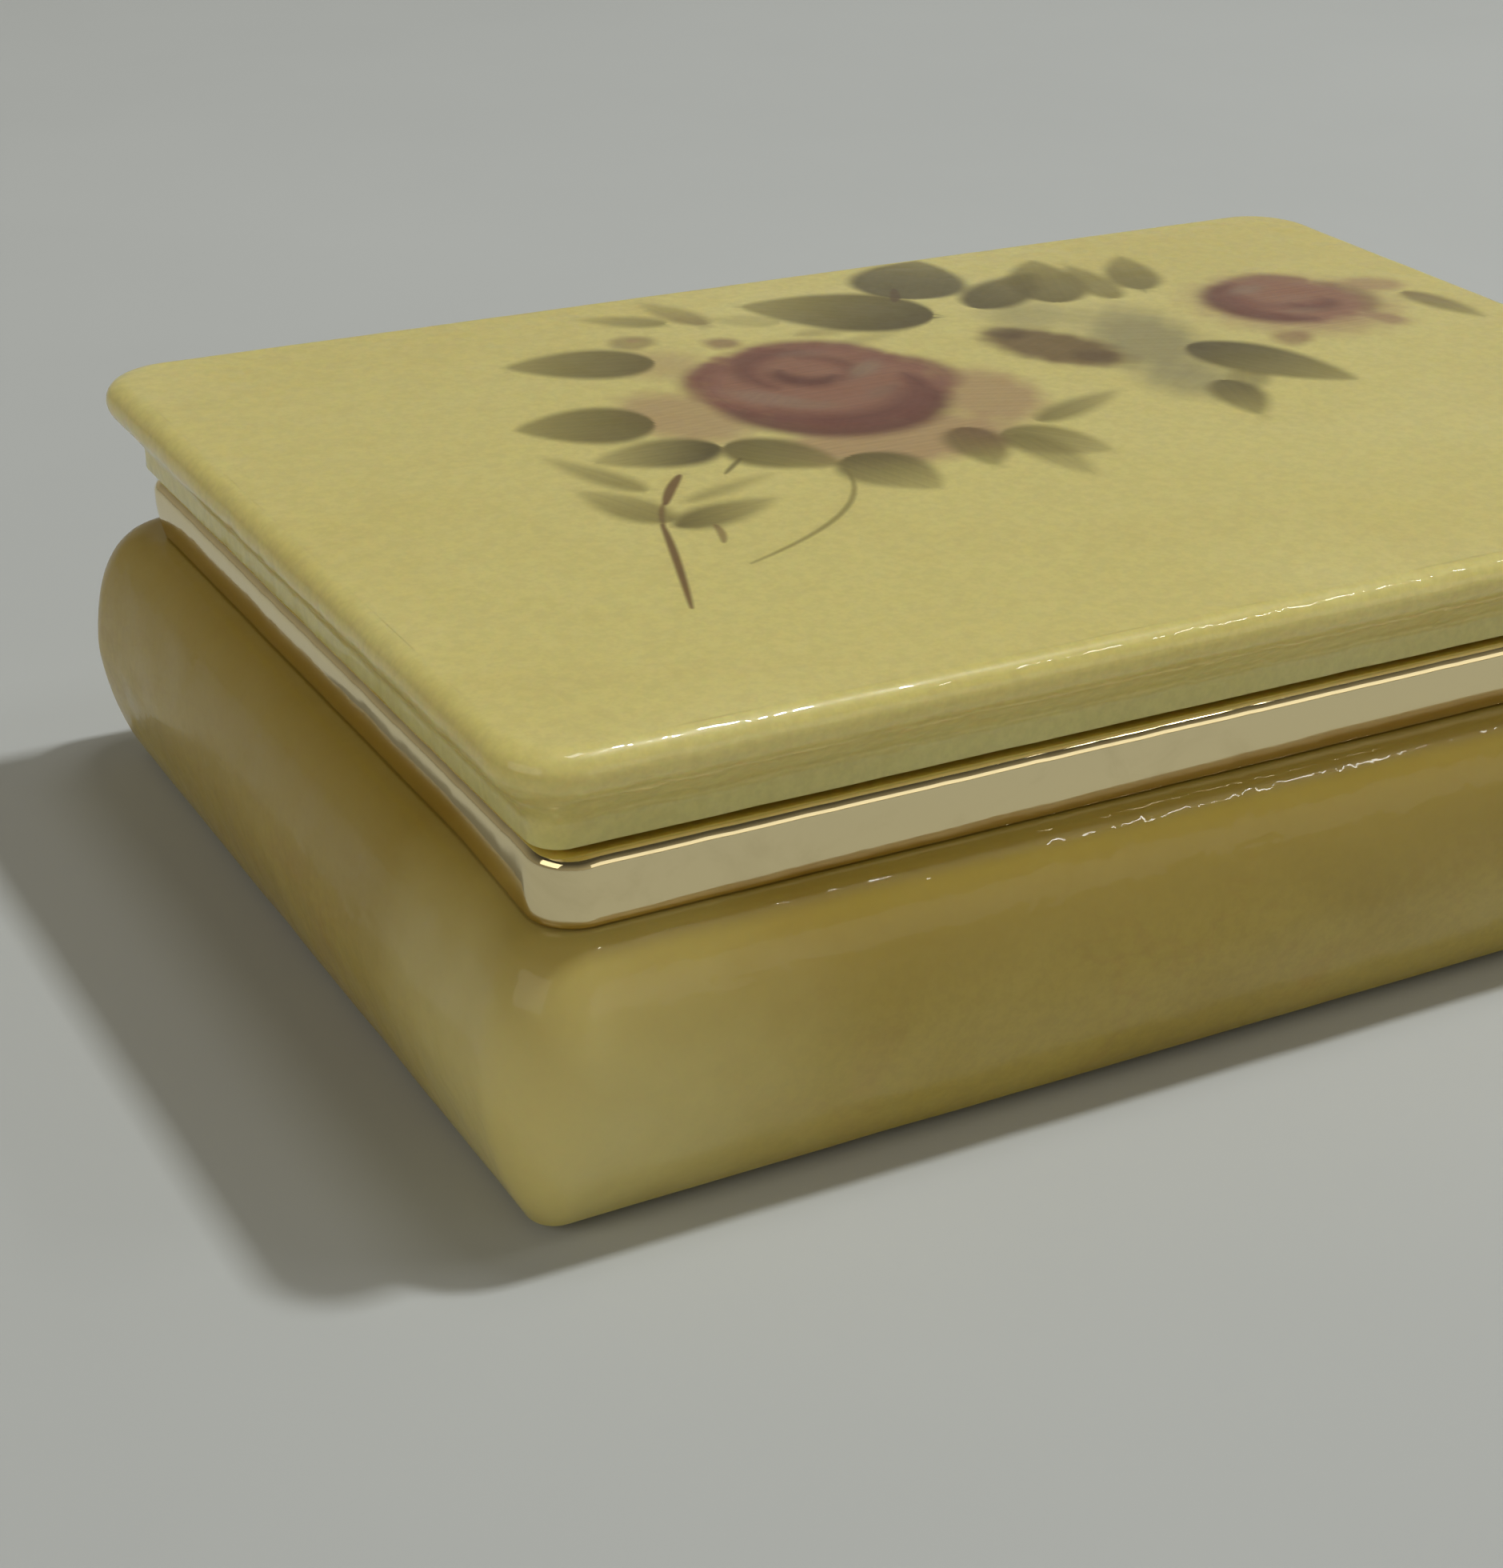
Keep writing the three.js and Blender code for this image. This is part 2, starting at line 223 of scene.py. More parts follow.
def piece(name, points, faces, materials, body, nodes, slot):
    """Makes a mesh piece that rides on a body and hides the CAD nodes it stands for; the slot it is
    given is not used.
    """
    mesh = bpy.data.meshes.new(name)
    mesh.from_pydata((np.asarray(points) * MM).tolist(), [], faces)
    mesh.shade_smooth()
    mesh.set_sharp_from_angle(angle=SHARP_ANGLE)
    for material in materials:
        mesh.materials.append(material)
    obj = bpy.data.objects.new(name, mesh)
    bpy.context.scene.collection.objects.link(obj)
    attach(obj, body)
    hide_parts(*nodes)
    return obj


def waves(values, lengths, seed):
    """A sum of slow sine waves along some distance, from 0 to 1."""
    draw = np.random.default_rng(seed)
    total = sum(np.sin(2 * math.pi * (values / length + draw.random())) for length in lengths)
    return 0.5 + 0.5 * total / len(lengths)


# ---------------------------------------------------------------- materials

class Shader:
    """A material whose colour and gloss come from nodes that read the piece's own coordinates."""

    def __init__(self, name):
        self.material = bpy.data.materials.new(name)
        self.material.use_nodes = True
        self.nodes = self.material.node_tree.nodes
        self.links = self.material.node_tree.links
        self.surface = self.nodes["Principled BSDF"]
        self.place = self.nodes.new("ShaderNodeTexCoord").outputs["Object"]

    def set(self, **values):
        for name, value in values.items():
            socket = self.surface.inputs[name.replace("_", " ")]
            if isinstance(value, bpy.types.NodeSocket):
                self.links.new(value, socket)
            else:
                socket.default_value = value

    def node(self, kind, inputs, output, **settings):
        made = self.nodes.new(kind)
        for key, value in settings.items():
            setattr(made, key, value)
        for key, value in inputs.items():
            if isinstance(value, bpy.types.NodeSocket):
                self.links.new(value, made.inputs[key])
            else:
                made.inputs[key].default_value = value
        return made.outputs[output]

    def noise(self, scale, detail=3.0, rough=0.5, warp=0.0, at=None):
        inputs = {"Vector": at or self.place, "Scale": scale, "Detail": detail,
                  "Roughness": rough, "Distortion": warp}
        return self.node("ShaderNodeTexNoise", inputs, "Fac")

    def height(self):
        return self.node("ShaderNodeSeparateXYZ", {0: self.place}, "Z")

    def stretch(self, scale):
        return self.node("ShaderNodeMapping", {"Vector": self.place, "Scale": scale}, "Vector")

    def spread(self, value, low, high, to_low=0.0, to_high=1.0):
        inputs = {"Value": value, "From Min": low, "From Max": high,
                  "To Min": to_low, "To Max": to_high}
        return self.node("ShaderNodeMapRange", inputs, "Result", interpolation_type="SMOOTHSTEP")

    def mix(self, share, first, second, blend="MIX"):
        made = self.nodes.new("ShaderNodeMix")
        made.data_type = "RGBA"
        made.blend_type = blend
        for key, value in ((0, share), (6, first), (7, second)):
            if isinstance(value, bpy.types.NodeSocket):
                self.links.new(value, made.inputs[key])
            else:
                made.inputs[key].default_value = value if key == 0 else (*value, 1.0)
        return made.outputs[2]

    def math(self, operation, first, second):
        return self.node("ShaderNodeMath", {0: first, 1: second}, 0, operation=operation)

    def bump(self, height, distance, strength=1.0, under=None):
        inputs = {"Height": height, "Distance": distance, "Strength": strength}
        if under is not None:
            inputs["Normal"] = under
        return self.node("ShaderNodeBump", inputs, "Normal")


GLOW_RADIUS = (1.0, 0.62, 0.18)      # how far light of each colour spreads inside the stone
# painted light: the colour painted round the body's front left corner, and the middle of that patch,
# stand in for light coming through the thin stone there and a hazy reflection on it
CORNER_GLOW_COLOUR = (0.76, 0.66, 0.26)
CORNER_GLOW_CENTRE = (-0.058, -0.044, 0.004)  # the middle of the paler patch, just outside the foot

# stone colours: the main tone, its pale clouds, its deeper drifts and the rusty haze in them
BODY_TONES = ((0.49, 0.370, 0.070), (0.55, 0.435, 0.110), (0.40, 0.290, 0.052), (0.43, 0.265, 0.060))
LID_TONES = ((0.72, 0.630, 0.215), (0.76, 0.680, 0.270), (0.66, 0.550, 0.150), (0.58, 0.430, 0.130))


def stone_colour(shader, tones, drift_share, rust_share):
    """Honey alabaster: soft pale clouds, deeper drifts, a rusty haze and a fine crystal grain."""
    main, pale, deep, rust = tones
    clouds = shader.noise(27, 3, 0.5, 0.4)
    colour = shader.mix(shader.spread(clouds, 0.42, 0.75), main, pale)
    drifts = shader.noise(19, 4, 0.5, 0.9, shader.stretch((0.8, 1.5, 2.0)))
    share = shader.math("MULTIPLY", shader.spread(drifts, 0.44, 0.72), drift_share)
    colour = shader.mix(share, colour, deep)
    haze = shader.noise(44, 5, 0.62, 0.8, shader.stretch((1.0, 1.2, 1.4)))
    share = shader.math("MULTIPLY", shader.spread(haze, 0.52, 0.74), rust_share)
    colour = shader.mix(share, colour, rust)
    veins = shader.noise(23, 5, 0.6, 1.8, shader.stretch((1.0, 1.3, 1.9)))
    ridge = shader.math("ABSOLUTE", shader.math("SUBTRACT", veins, 0.5), 0.0)
    share = shader.math("MULTIPLY", shader.spread(ridge, 0.03, 0.0), 0.35 * rust_share)
    colour = shader.mix(share, colour, rust)
    grain = shader.spread(shader.noise(1300, 2, 0.7), 0.3, 0.7, 0.95, 1.04)
    tint = shader.node("ShaderNodeCombineColor", {0: grain, 1: grain, 2: grain}, "Color")
    return shader.mix(1.0, colour, tint, "MULTIPLY")


def painted_corner_glow(shader):
    """How much painted light shows on the body: the stone round the front left corner is painted
    paler, standing in for light coming through the thin corner and a hazy reflection on it.
    """
    inputs = {0: shader.place, 1: CORNER_GLOW_CENTRE}
    away = shader.node("ShaderNodeVectorMath", inputs, "Value", operation="DISTANCE")
    ragged = shader.math("ADD", away, shader.spread(shader.noise(60, 3, 0.5), 0, 1, -0.008, 0.008))
    return shader.spread(ragged, 0.031, 0.006, 0.0, 0.8)


def darker_under_shoulder(shader):
    """How far the stone is darkened towards its deeper tone, more the higher it is, in a level band
    with a ragged edge that is darkest just under the shoulder.
    """
    uneven = shader.spread(shader.noise(36, 3, 0.5), 0, 1, -0.003, 0.003)
    ragged = shader.math("ADD", shader.height(), uneven)
    return shader.spread(ragged, 0.0075, 0.0165, 0.0, 0.85)


def polished_stone(name, tones, drift_share, rust_share, painted=False):
    """Ground and polished stone under a thin clear coat; the lid's has the painting in it."""
    shader = Shader(name)
    colour = stone_colour(shader, tones, drift_share, rust_share)
    if painted:   # the paint's colour is already multiplied by its cover
        paint = shader.node("ShaderNodeAttribute", {}, "Color", attribute_name="paint")
        cover = shader.node("ShaderNodeAttribute", {}, "Alpha", attribute_name="paint")
        colour = shader.mix(cover, colour, (0.0, 0.0, 0.0))
        colour = shader.mix(1.0, colour, paint, "ADD")
    else:
        colour = shader.mix(darker_under_shoulder(shader), colour, tones[2])
        # painted light: the front left corner is painted paler in place of light through the stone and
        # a hazy reflection
        colour = shader.mix(painted_corner_glow(shader), colour, CORNER_GLOW_COLOUR)
    ripple = shader.bump(shader.noise(95, 2, 0.4), 0.00012)
    normal = shader.bump(shader.noise(900, 3, 0.6), 0.000008, under=ripple)
    # the polished coat is rippled on every side, and nearly flat on the lid's top
    off_top = shader.spread(shader.height(), (LID_EDGE_Z + 0.2) * MM, LID_EDGE_Z * MM, 0.15, 1.0)
    hollows = shader.bump(shader.noise(300, 2, 0.5, 0.4), 0.00018, off_top)
    shader.set(Base_Color=colour, Normal=normal, IOR=1.52, Specular_IOR_Level=0.22,
               Roughness=shader.spread(shader.noise(240, 4, 0.6), 0.3, 0.75, 0.30, 0.45),
               Subsurface_Weight=0.35, Subsurface_Radius=GLOW_RADIUS, Subsurface_Scale=0.006,
               Coat_Weight=0.65 if painted else 0.35, Coat_Roughness=0.035, Coat_Normal=hollows)
    return shader.material


def honed_stone():
    """The stone inside the box and the lid, cut but never polished: chalky, with turning marks."""
    shader = Shader("honed_alabaster")
    colour = stone_colour(shader, BODY_TONES, 0.5, 0.5)
    dust = shader.spread(shader.noise(420, 4, 0.65), 0.35, 0.7, 0.18, 0.36)
    colour = shader.mix(dust, colour, (0.72, 0.66, 0.42))
    marks = shader.noise(700, 2, 0.5, 0.0, shader.stretch((0.08, 1.0, 1.0)))
    shader.set(Base_Color=colour, Normal=shader.bump(marks, 0.00004),
               Roughness=shader.spread(marks, 0.3, 0.7, 0.5, 0.68),
               Subsurface_Weight=0.25, Subsurface_Radius=GLOW_RADIUS, Subsurface_Scale=0.005)
    return shader.material


def brass(name, colour, low, high, tarnish):
    """Polished sheet brass: a faint lengthwise draw, small tarnished patches and uneven gloss."""
    shader = Shader(name)
    patches = shader.noise(130, 5, 0.65, 0.8)
    dull = shader.spread(patches, 0.52, 0.75, 0.0, tarnish)
    base = shader.mix(dull, colour, (0.30, 0.19, 0.07))
    draw = shader.noise(1400, 3, 0.6, 0.0, shader.stretch((0.05, 0.05, 1.0)))
    dents = shader.bump(shader.noise(210, 2, 0.4), 0.00004)
    gloss = shader.math("ADD", shader.spread(draw, 0.3, 0.7, low, high),
                        shader.math("MULTIPLY", dull, 0.25))
    shader.set(Base_Color=base, Metallic=1.0, Roughness=gloss,
               Normal=shader.bump(draw, 0.000004, under=dents))
    return shader.material


def steel_wire():
    """Dull drawn steel, darkened in places."""
    shader = Shader("pin_steel")
    turned = shader.noise(2600, 3, 0.6, 0.0, shader.stretch((1.0, 0.1, 0.1)))
    base = shader.mix(shader.spread(turned, 0.35, 0.7), (0.50, 0.48, 0.45), (0.24, 0.21, 0.18))
    shader.set(Base_Color=base, Metallic=1.0, Normal=shader.bump(turned, 0.00001),
               Roughness=shader.spread(turned, 0.3, 0.7, 0.28, 0.45))
    return shader.material


def wool_felt():
    """Pressed felt: matted fibres that run every way, with a few paler ones on top."""
    shader = Shader("base_felt")
    matted = shader.noise(1900, 5, 0.7, 3.0)
    stray = shader.noise(3200, 3, 0.7, 6.0, shader.stretch((1.0, 0.25, 1.0)))
    base = shader.mix(shader.spread(matted, 0.35, 0.65), (0.018, 0.032, 0.016), (0.05, 0.08, 0.042))
    base = shader.mix(shader.spread(stray, 0.6, 0.68, 0.0, 0.5), base, (0.16, 0.19, 0.12))
    shader.set(Base_Color=base, Roughness=0.95, Sheen_Weight=0.6, Sheen_Roughness=0.5,
               Normal=shader.bump(shader.math("ADD", matted, stray), 0.00012))
    return shader.material


BODY_STONE = polished_stone("body_stone", BODY_TONES, 0.8, 0.6)
LID_STONE = polished_stone("lid_stone", LID_TONES, 0.4, 0.12, painted=True)
HONED = honed_stone()
COLLAR_BRASS = brass("collar_brass", (0.88, 0.745, 0.435), 0.05, 0.10, 0.12)
FRAME_BRASS = brass("frame_brass", (0.80, 0.61, 0.27), 0.14, 0.24, 0.2)
HINGE_BRASS = brass("hinge_brass", (0.70, 0.52, 0.22), 0.2, 0.34, 0.45)
PIN_STEEL = steel_wire()
FELT = wool_felt()


# ---------------------------------------------------------------- body

def body_offset(z):
    """How far the body's side stands outside its shoulder, at a height."""
    if z > BULGE_Z:
        rise = (z - BULGE_Z) / (SHOULDER_Z - BULGE_Z)
        return BULGE * (1 - rise ** UPPER_POWER) ** (1 / UPPER_POWER)
    drop = (BULGE_Z - z) / (BULGE_Z - BASE_Z)
    return BASE_OFFSET + (BULGE - BASE_OFFSET) * (1 - drop ** LOWER_POWER) ** (1 / LOWER_POWER)


def hand_carved(depth, lengths, seed):
    """Slow, shallow unevenness that polishing by hand leaves, always cut into the stone."""
    def carve(flat, heights):
        along = flat[:, 0] + 0.6 * flat[:, 1] + 0.8 * heights
        across = flat[:, 1] - 0.5 * flat[:, 0] - 1.3 * heights
        return depth * waves(along, lengths, seed) * waves(across, lengths, seed + 1)
    return carve


def carved_body():
    """The hollowed stone: polished outside, and honed from the glue under the collar inwards."""
    shares = (1 - np.cos(np.linspace(0, math.pi, 54))) / 2
    side = [(body_offset(z), z) for z in BASE_Z + shares * (SHOULDER_Z - BASE_Z)]
    first = next(i for i, (_, z) in enumerate(side) if z > BASE_Z + BASE_ROUND)
    base = quarter((side[first][0], side[first][1]), (BASE_OFFSET - BASE_ROUND, BASE_Z), 5)[::-1]
    outside = base[:-1] + side[first:]
    rim = -BAND - GLUE
    rim_top = COLLAR_TOP - LEDGE - GLUE
    fillet = quarter((-WALL, FLOOR_Z + FLOOR_FILLET), (-WALL - FLOOR_FILLET, FLOOR_Z))
    wall = [(-WALL, z) for z in np.linspace(rim_top, FLOOR_Z + FLOOR_FILLET, 8)[:-1]]
    inside = [(rim, SHOULDER_Z), (rim, rim_top - 0.2), (rim - 0.2, rim_top), *wall, *fillet]
    rows = [(BODY, *row) for row in outside] + [(COLLAR, *row) for row in inside]
    unevenness = hand_carved(0.12, (31.0, 17.0, 9.0), 3)
    points, faces = skin(rows, carve=unevenness)
    body = piece("carved_body", points, faces, [BODY_STONE, HONED], "box",
                 ["alabaster_body"], "body_stone")
    for face in body.data.polygons:
        row = min(face.vertices) // LOOP_SIZE
        face.material_index = int(row >= len(outside))
    return body


def felt_pad():
    """A thin pad under the foot, with a soft nap at its edge."""
    low, high = (corner.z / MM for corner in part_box("felt_base_pad"))
    nap = 0.08
    rows = [(PAD, -6.0, low), (PAD, -3.0, low), (PAD, -nap, low + 0.02), (PAD, 0, low + nap),
            (PAD, 0, high - nap), (PAD, -nap, high - 0.01), (PAD, -3.0, high), (PAD, -6.0, high)]
    points, faces = skin(rows, carve=hand_carved(0.25, (7.0, 3.1, 1.9), 11))
    pad = piece("felt_pad", points, faces, [FELT], "box", ["felt_base_pad"], "base_felt")
    return pad


# ---------------------------------------------------------------- brass mounts

CORNER_TUCK, RIGHT_TUCK, END_TUCK = 0.02, 0.52, 0.60   # how far the band's foot is tucked in
TUCK_RUN = 12.0        # how far round from the front it takes to reach the ends' tuck


def band_dents(flat, heights):
    """How far the hand-fitted band sinks in: its lower half is tucked under, least at the front
    left corner, and its top edge is a little battered."""
    rise = np.clip((heights - COLLAR_LOW) / (COLLAR_TOP - COLLAR_FILLET - COLLAR_LOW), 0, 1)
    along = np.clip((flat[:, 0] + COLLAR.half[0]) / (2 * COLLAR.half[0]), 0, 1)
    back = np.clip((flat[:, 1] - COLLAR.centre[1] + COLLAR.half[1] - 1) / TUCK_RUN, 0, 1)
    tuck = between(between(CORNER_TUCK, RIGHT_TUCK, along), END_TUCK, back)
    battered = 0.055 * waves(flat[:, 0] - flat[:, 1], (5.3, 3.1, 2.2), 22) ** 2
    slow = 0.05 * waves(flat[:, 0] + 0.6 * flat[:, 1], (23.0, 12.0, 6.5), 21)
    return tuck * (1 - rise) ** 2 + battered * rise ** 4 + slow


def collar_band():
    """The brass rim: a rolled band outside, a flat ledge and a skirt inside the mouth."""
    inside = -WALL - GLUE
    skirt = inside - SKIRT
    low = COLLAR_LOW
    rows = [
        (-SEAM_BEVEL, low), (-SEAM_BEVEL / 4, low + SEAM_BEVEL / 3), (0, low + SEAM_BEVEL),
        *[(0, z) for z in np.linspace(low + 0.3, COLLAR_TOP - COLLAR_FILLET - 0.1, 14)],
        *quarter((0, COLLAR_TOP - COLLAR_FILLET), (-COLLAR_FILLET, COLLAR_TOP), 10),
        *quarter((skirt, COLLAR_TOP - SKIRT_FILLET), (skirt + SKIRT_FILLET, COLLAR_TOP), 5)[::-1],
        (skirt, COLLAR_TOP - SKIRT_DEPTH + SEAM_BEVEL),
        (skirt + SEAM_BEVEL, COLLAR_TOP - SKIRT_DEPTH),
        (inside, COLLAR_TOP - SKIRT_DEPTH),
        (inside, COLLAR_TOP - LEDGE),
        (-BAND, COLLAR_TOP - LEDGE),
        (BAND_FOOT - BAND, low),
    ]
    points, faces = skin([(COLLAR, *row) for row in rows], closed=True, carve=band_dents)
    return piece("collar_band", points, faces, [COLLAR_BRASS], "box",
                 ["body_collar"], "collar_brass")


def lid_liner():
    """The brass frame let into the lid, with a lip that drops inside the collar."""
    low, high = LID_LOW - FRAME_PROUD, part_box("lid_frame")[1].z / MM
    lip_low = COLLAR_TOP - LIP_DEPTH
    outer = -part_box("lid_frame")[0].x / MM - COLLAR.half[0]
    lip_out = -WALL - GLUE - SKIRT - LIP_CLEARANCE
    lip_in = lip_out - LIP_THICKNESS
    rows = [
        (lip_out, lip_low + SEAM_BEVEL), (lip_out, low - 0.1), (lip_out + 0.1, low),
        (outer - SEAM_BEVEL, low), (outer, low + SEAM_BEVEL), (outer, high),
        (lip_in, high), (lip_in, lip_low + SEAM_BEVEL),
        (lip_in + SEAM_BEVEL, lip_low), (lip_out - SEAM_BEVEL, lip_low),
    ]
    points, faces = skin([(COLLAR, *row) for row in rows], closed=True)
    return piece("lid_liner", points, faces, [FRAME_BRASS], "lid", ["lid_frame"], "frame_brass")


# ---------------------------------------------------------------- painting on the lid

MOSS = (0.070, 0.050, 0.004)
OLIVE_DEEP = (0.120, 0.090, 0.010)
OLIVE = (0.200, 0.160, 0.028)
OLIVE_PALE = (0.340, 0.285, 0.085)
SLATE_LEAF = (0.085, 0.068, 0.018)
CRIMSON = (0.105, 0.016, 0.011)
WINE = (0.190, 0.052, 0.036)
MAUVE = (0.280, 0.112, 0.072)
BLUSH = (0.430, 0.265, 0.130)
UMBER = (0.130, 0.062, 0.012)
UMBER_DARK = (0.085, 0.040, 0.008)
ASH = (0.245, 0.215, 0.105)
SEPIA = (0.165, 0.082, 0.018)

BRUSH_EDGE = 0.75     # how softly a stroke ends, across it

# leaves: root, tip, width, colour at the root, colour at the tip, cover
LEAVES = [
    ((-2.5, 18.0), (5.0, 19.4), 1.6, OLIVE_PALE, OLIVE_PALE, 0.45),
    ((-3.6, 21.6), (2.6, 21.2), 1.8, UMBER, OLIVE_PALE, 0.4),
    ((-3.0, 25.0), (-7.6, 28.0), 3.0, OLIVE_PALE, OLIVE_PALE, 0.45),
    ((-16.2, 20.4), (-26.6, 23.8), 6.8, OLIVE_DEEP, OLIVE, 0.92),
    ((-22.3, 8.6), (-31.6, 11.2), 7.4, OLIVE_DEEP, OLIVE, 0.92),
    ((-20.5, 2.3), (-29.6, 3.2), 5.4, MOSS, OLIVE_PALE, 0.95),
    ((-20.2, 2.4), (-14.8, -4.2), 5.6, OLIVE_DEEP, OLIVE, 0.9),
    ((-13.6, -3.0), (-11.2, -10.8), 6.4, OLIVE_DEEP, OLIVE_PALE, 0.92),
    ((2.0, -2.6), (11.0, 0.6), 2.6, OLIVE, OLIVE_PALE, 0.85),
    ((-1.6, -3.4), (3.4, -9.6), 5.6, OLIVE, OLIVE_PALE, 0.85),
    ((-1.0, -4.0), (-0.4, -13.0), 3.4, OLIVE, OLIVE_PALE, 0.7),
    ((-3.4, -1.4), (-5.6, -8.8), 4.4, UMBER, OLIVE, 0.85),
    ((8.6, 21.4), (-3.8, 30.0), 10.0, MOSS, OLIVE, 0.96),
    ((8.8, 26.4), (15.6, 35.4), 9.4, SLATE_LEAF, SLATE_LEAF, 0.93),
    ((12.6, 21.8), (22.4, 28.2), 5.4, MOSS, OLIVE_DEEP, 0.93),
    ((19.4, 20.4), (24.4, 31.4), 6.4, OLIVE_DEEP, OLIVE, 0.9),
    ((24.2, 19.4), (26.2, 29.0), 3.6, OLIVE, OLIVE, 0.8),
    ((27.6, 20.6), (31.8, 29.4), 4.4, OLIVE_DEEP, OLIVE, 0.82),
    ((22.2, 7.2), (28.8, -4.6), 7.0, MOSS, OLIVE, 0.93),
    ((23.0, 0.8), (19.6, -3.4), 3.2, OLIVE, OLIVE_PALE, 0.75),
    ((19.6, -0.6), (17.2, -8.0), 4.0, OLIVE_DEEP, OLIVE, 0.9),
    ((47.0, 11.8), (48.6, 3.6), 3.0, UMBER, OLIVE, 0.75),
    ((-11.0, 28.4), (-16.6, 32.2), 2.8, OLIVE, OLIVE_PALE, 0.75),
    ((-8.4, 26.8), (-10.4, 34.4), 3.0, UMBER, OLIVE_PALE, 0.65),
    ((-28.8, -3.0), (-32.2, 5.4), 2.4, OLIVE, OLIVE_PALE, 0.72),
    ((-29.8, -8.4), (-32.8, -1.0), 3.6, OLIVE, OLIVE_PALE, 0.8),
    ((-30.0, -9.3), (-21.8, -7.6), 3.4, OLIVE_DEEP, OLIVE_PALE, 0.88),
    ((-27.4, -5.8), (-19.6, -3.6), 1.4, OLIVE, OLIVE_PALE, 0.6),
]

# soft dabs under the leaves: centre, half sizes, turn in degrees, colour, cover, softness
WASHES = [
    ((20.0, 9.5), (5.5, 10.5), -20, ASH, 0.75, 0.8),
    ((17.5, 0.0), (5.0, 5.0), 30, ASH, 0.6, 0.9),
    ((15.5, 18.5), (5.0, 4.5), 10, ASH, 0.5, 0.9),
    ((-20.0, 8.5), (4.6, 7.0), 8, BLUSH, 0.75, 0.6),
    ((-16.0, 19.5), (4.5, 4.0), 40, BLUSH, 0.5, 0.9),
    ((-8.5, -1.6), (10.0, 5.4), -4, BLUSH, 0.85, 0.5),
    ((2.0, 3.6), (4.6, 7.0), -20, BLUSH, 0.8, 0.6),
    ((36.5, 12.5), (9.6, 9.4), 0, BLUSH, 0.8, 0.6),
    ((46.0, 14.4), (3.4, 2.4), -20, BLUSH, 0.8, 0.7),
    ((41.0, 6.4), (1.6, 2.4), 20, MAUVE, 0.55, 0.8),
    ((30.8, 5.4), (2.6, 1.8), 35, WINE, 0.6, 0.8),
]

# dabs over the leaves, given like the washes
SHADES = [
    ((12.6, 11.0), (4.2, 7.0), 25, UMBER, 0.9, 0.55),
    ((11.2, 15.2), (2.2, 1.8), 20, UMBER_DARK, 0.7, 0.8),
    ((14.2, 7.6), (2.0, 2.4), 20, UMBER_DARK, 0.6, 0.8),
    ((-15.6, 25.2), (2.2, 1.9), 0, SEPIA, 0.55, 0.6),
    ((-15.3, 25.6), (0.7, 0.6), 0, BLUSH, 0.6, 0.9),
    ((-9.6, 22.2), (1.8, 1.7), 0, WINE, 0.65, 0.8),
    ((-7.6, 10.8), (9.4, 9.8), 0, MAUVE, 0.97, 0.22),
    ((36.8, 13.6), (6.6, 6.6), 0, MAUVE, 0.9, 0.35),
]

# petals: centre of the arc, radius, start and end in degrees, width, outer and inner colour, cover
PETALS = [
    ((-8.6, 9.6), 7.6, 172, 368, 4.6, CRIMSON, WINE, 0.95),
    ((-8.4, 9.8), 5.4, 196, 344, 2.6, CRIMSON, MAUVE, 0.7),
    ((-7.6, 10.6), 8.6, 112, 196, 3.2, WINE, MAUVE, 0.85),
    ((-6.8, 11.6), 7.6, 26, 128, 3.2, WINE, MAUVE, 0.9),
    ((-3.4, 10.0), 4.8, -58, 84, 3.0, WINE, MAUVE, 0.85),
    ((-7.0, 13.6), 4.6, 64, 214, 2.2, CRIMSON, WINE, 0.8),
    ((-7.2, 13.8), 3.0, -70, 76, 1.9, CRIMSON, MAUVE, 0.8),
    ((-7.4, 13.4), 2.0, 130, 330, 2.2, CRIMSON, CRIMSON, 0.9),
    ((-12.6, 13.6), 3.2, 80, 190, 1.3, WINE, WINE, 0.6),
    ((36.8, 13.8), 5.2, 100, 262, 3.6, CRIMSON, WINE, 0.9),
    ((37.2, 13.4), 6.0, 40, 112, 2.4, WINE, MAUVE, 0.75),
    ((37.6, 13.2), 5.4, -60, 40, 2.6, UMBER, MAUVE, 0.6),
    ((37.0, 15.0), 3.4, 150, 330, 1.8, WINE, WINE, 0.65),
    ((38.2, 13.0), 1.8, 180, 350, 1.8, CRIMSON, WINE, 0.85),
]

# highlights on the petals, given like the washes
LIGHTS = [
    ((-12.8, 9.6), (1.7, 4.0), 38, (0.30, 0.180, 0.120), 0.8, 0.9),
    ((-10.6, 7.2), (2.8, 1.2), -32, (0.28, 0.165, 0.105), 0.6, 0.9),
    ((-3.0, 12.4), (2.9, 1.2), 38, (0.28, 0.185, 0.120), 0.75, 0.9),
    ((-5.6, 17.6), (2.4, 1.1), -12, (0.22, 0.120, 0.085), 0.6, 0.9),
    ((-8.0, 14.3), (0.5, 0.5), 0, MAUVE, 0.6, 0.9),
    ((-4.6, 7.6), (2.6, 1.0), 30, (0.22, 0.120, 0.080), 0.5, 0.9),
    ((35.4, 17.2), (2.6, 1.3), 15, (0.28, 0.180, 0.125), 0.6, 0.9),
    ((36.2, 10.8), (2.2, 1.0), -10, (0.27, 0.165, 0.110), 0.5, 0.9),
]

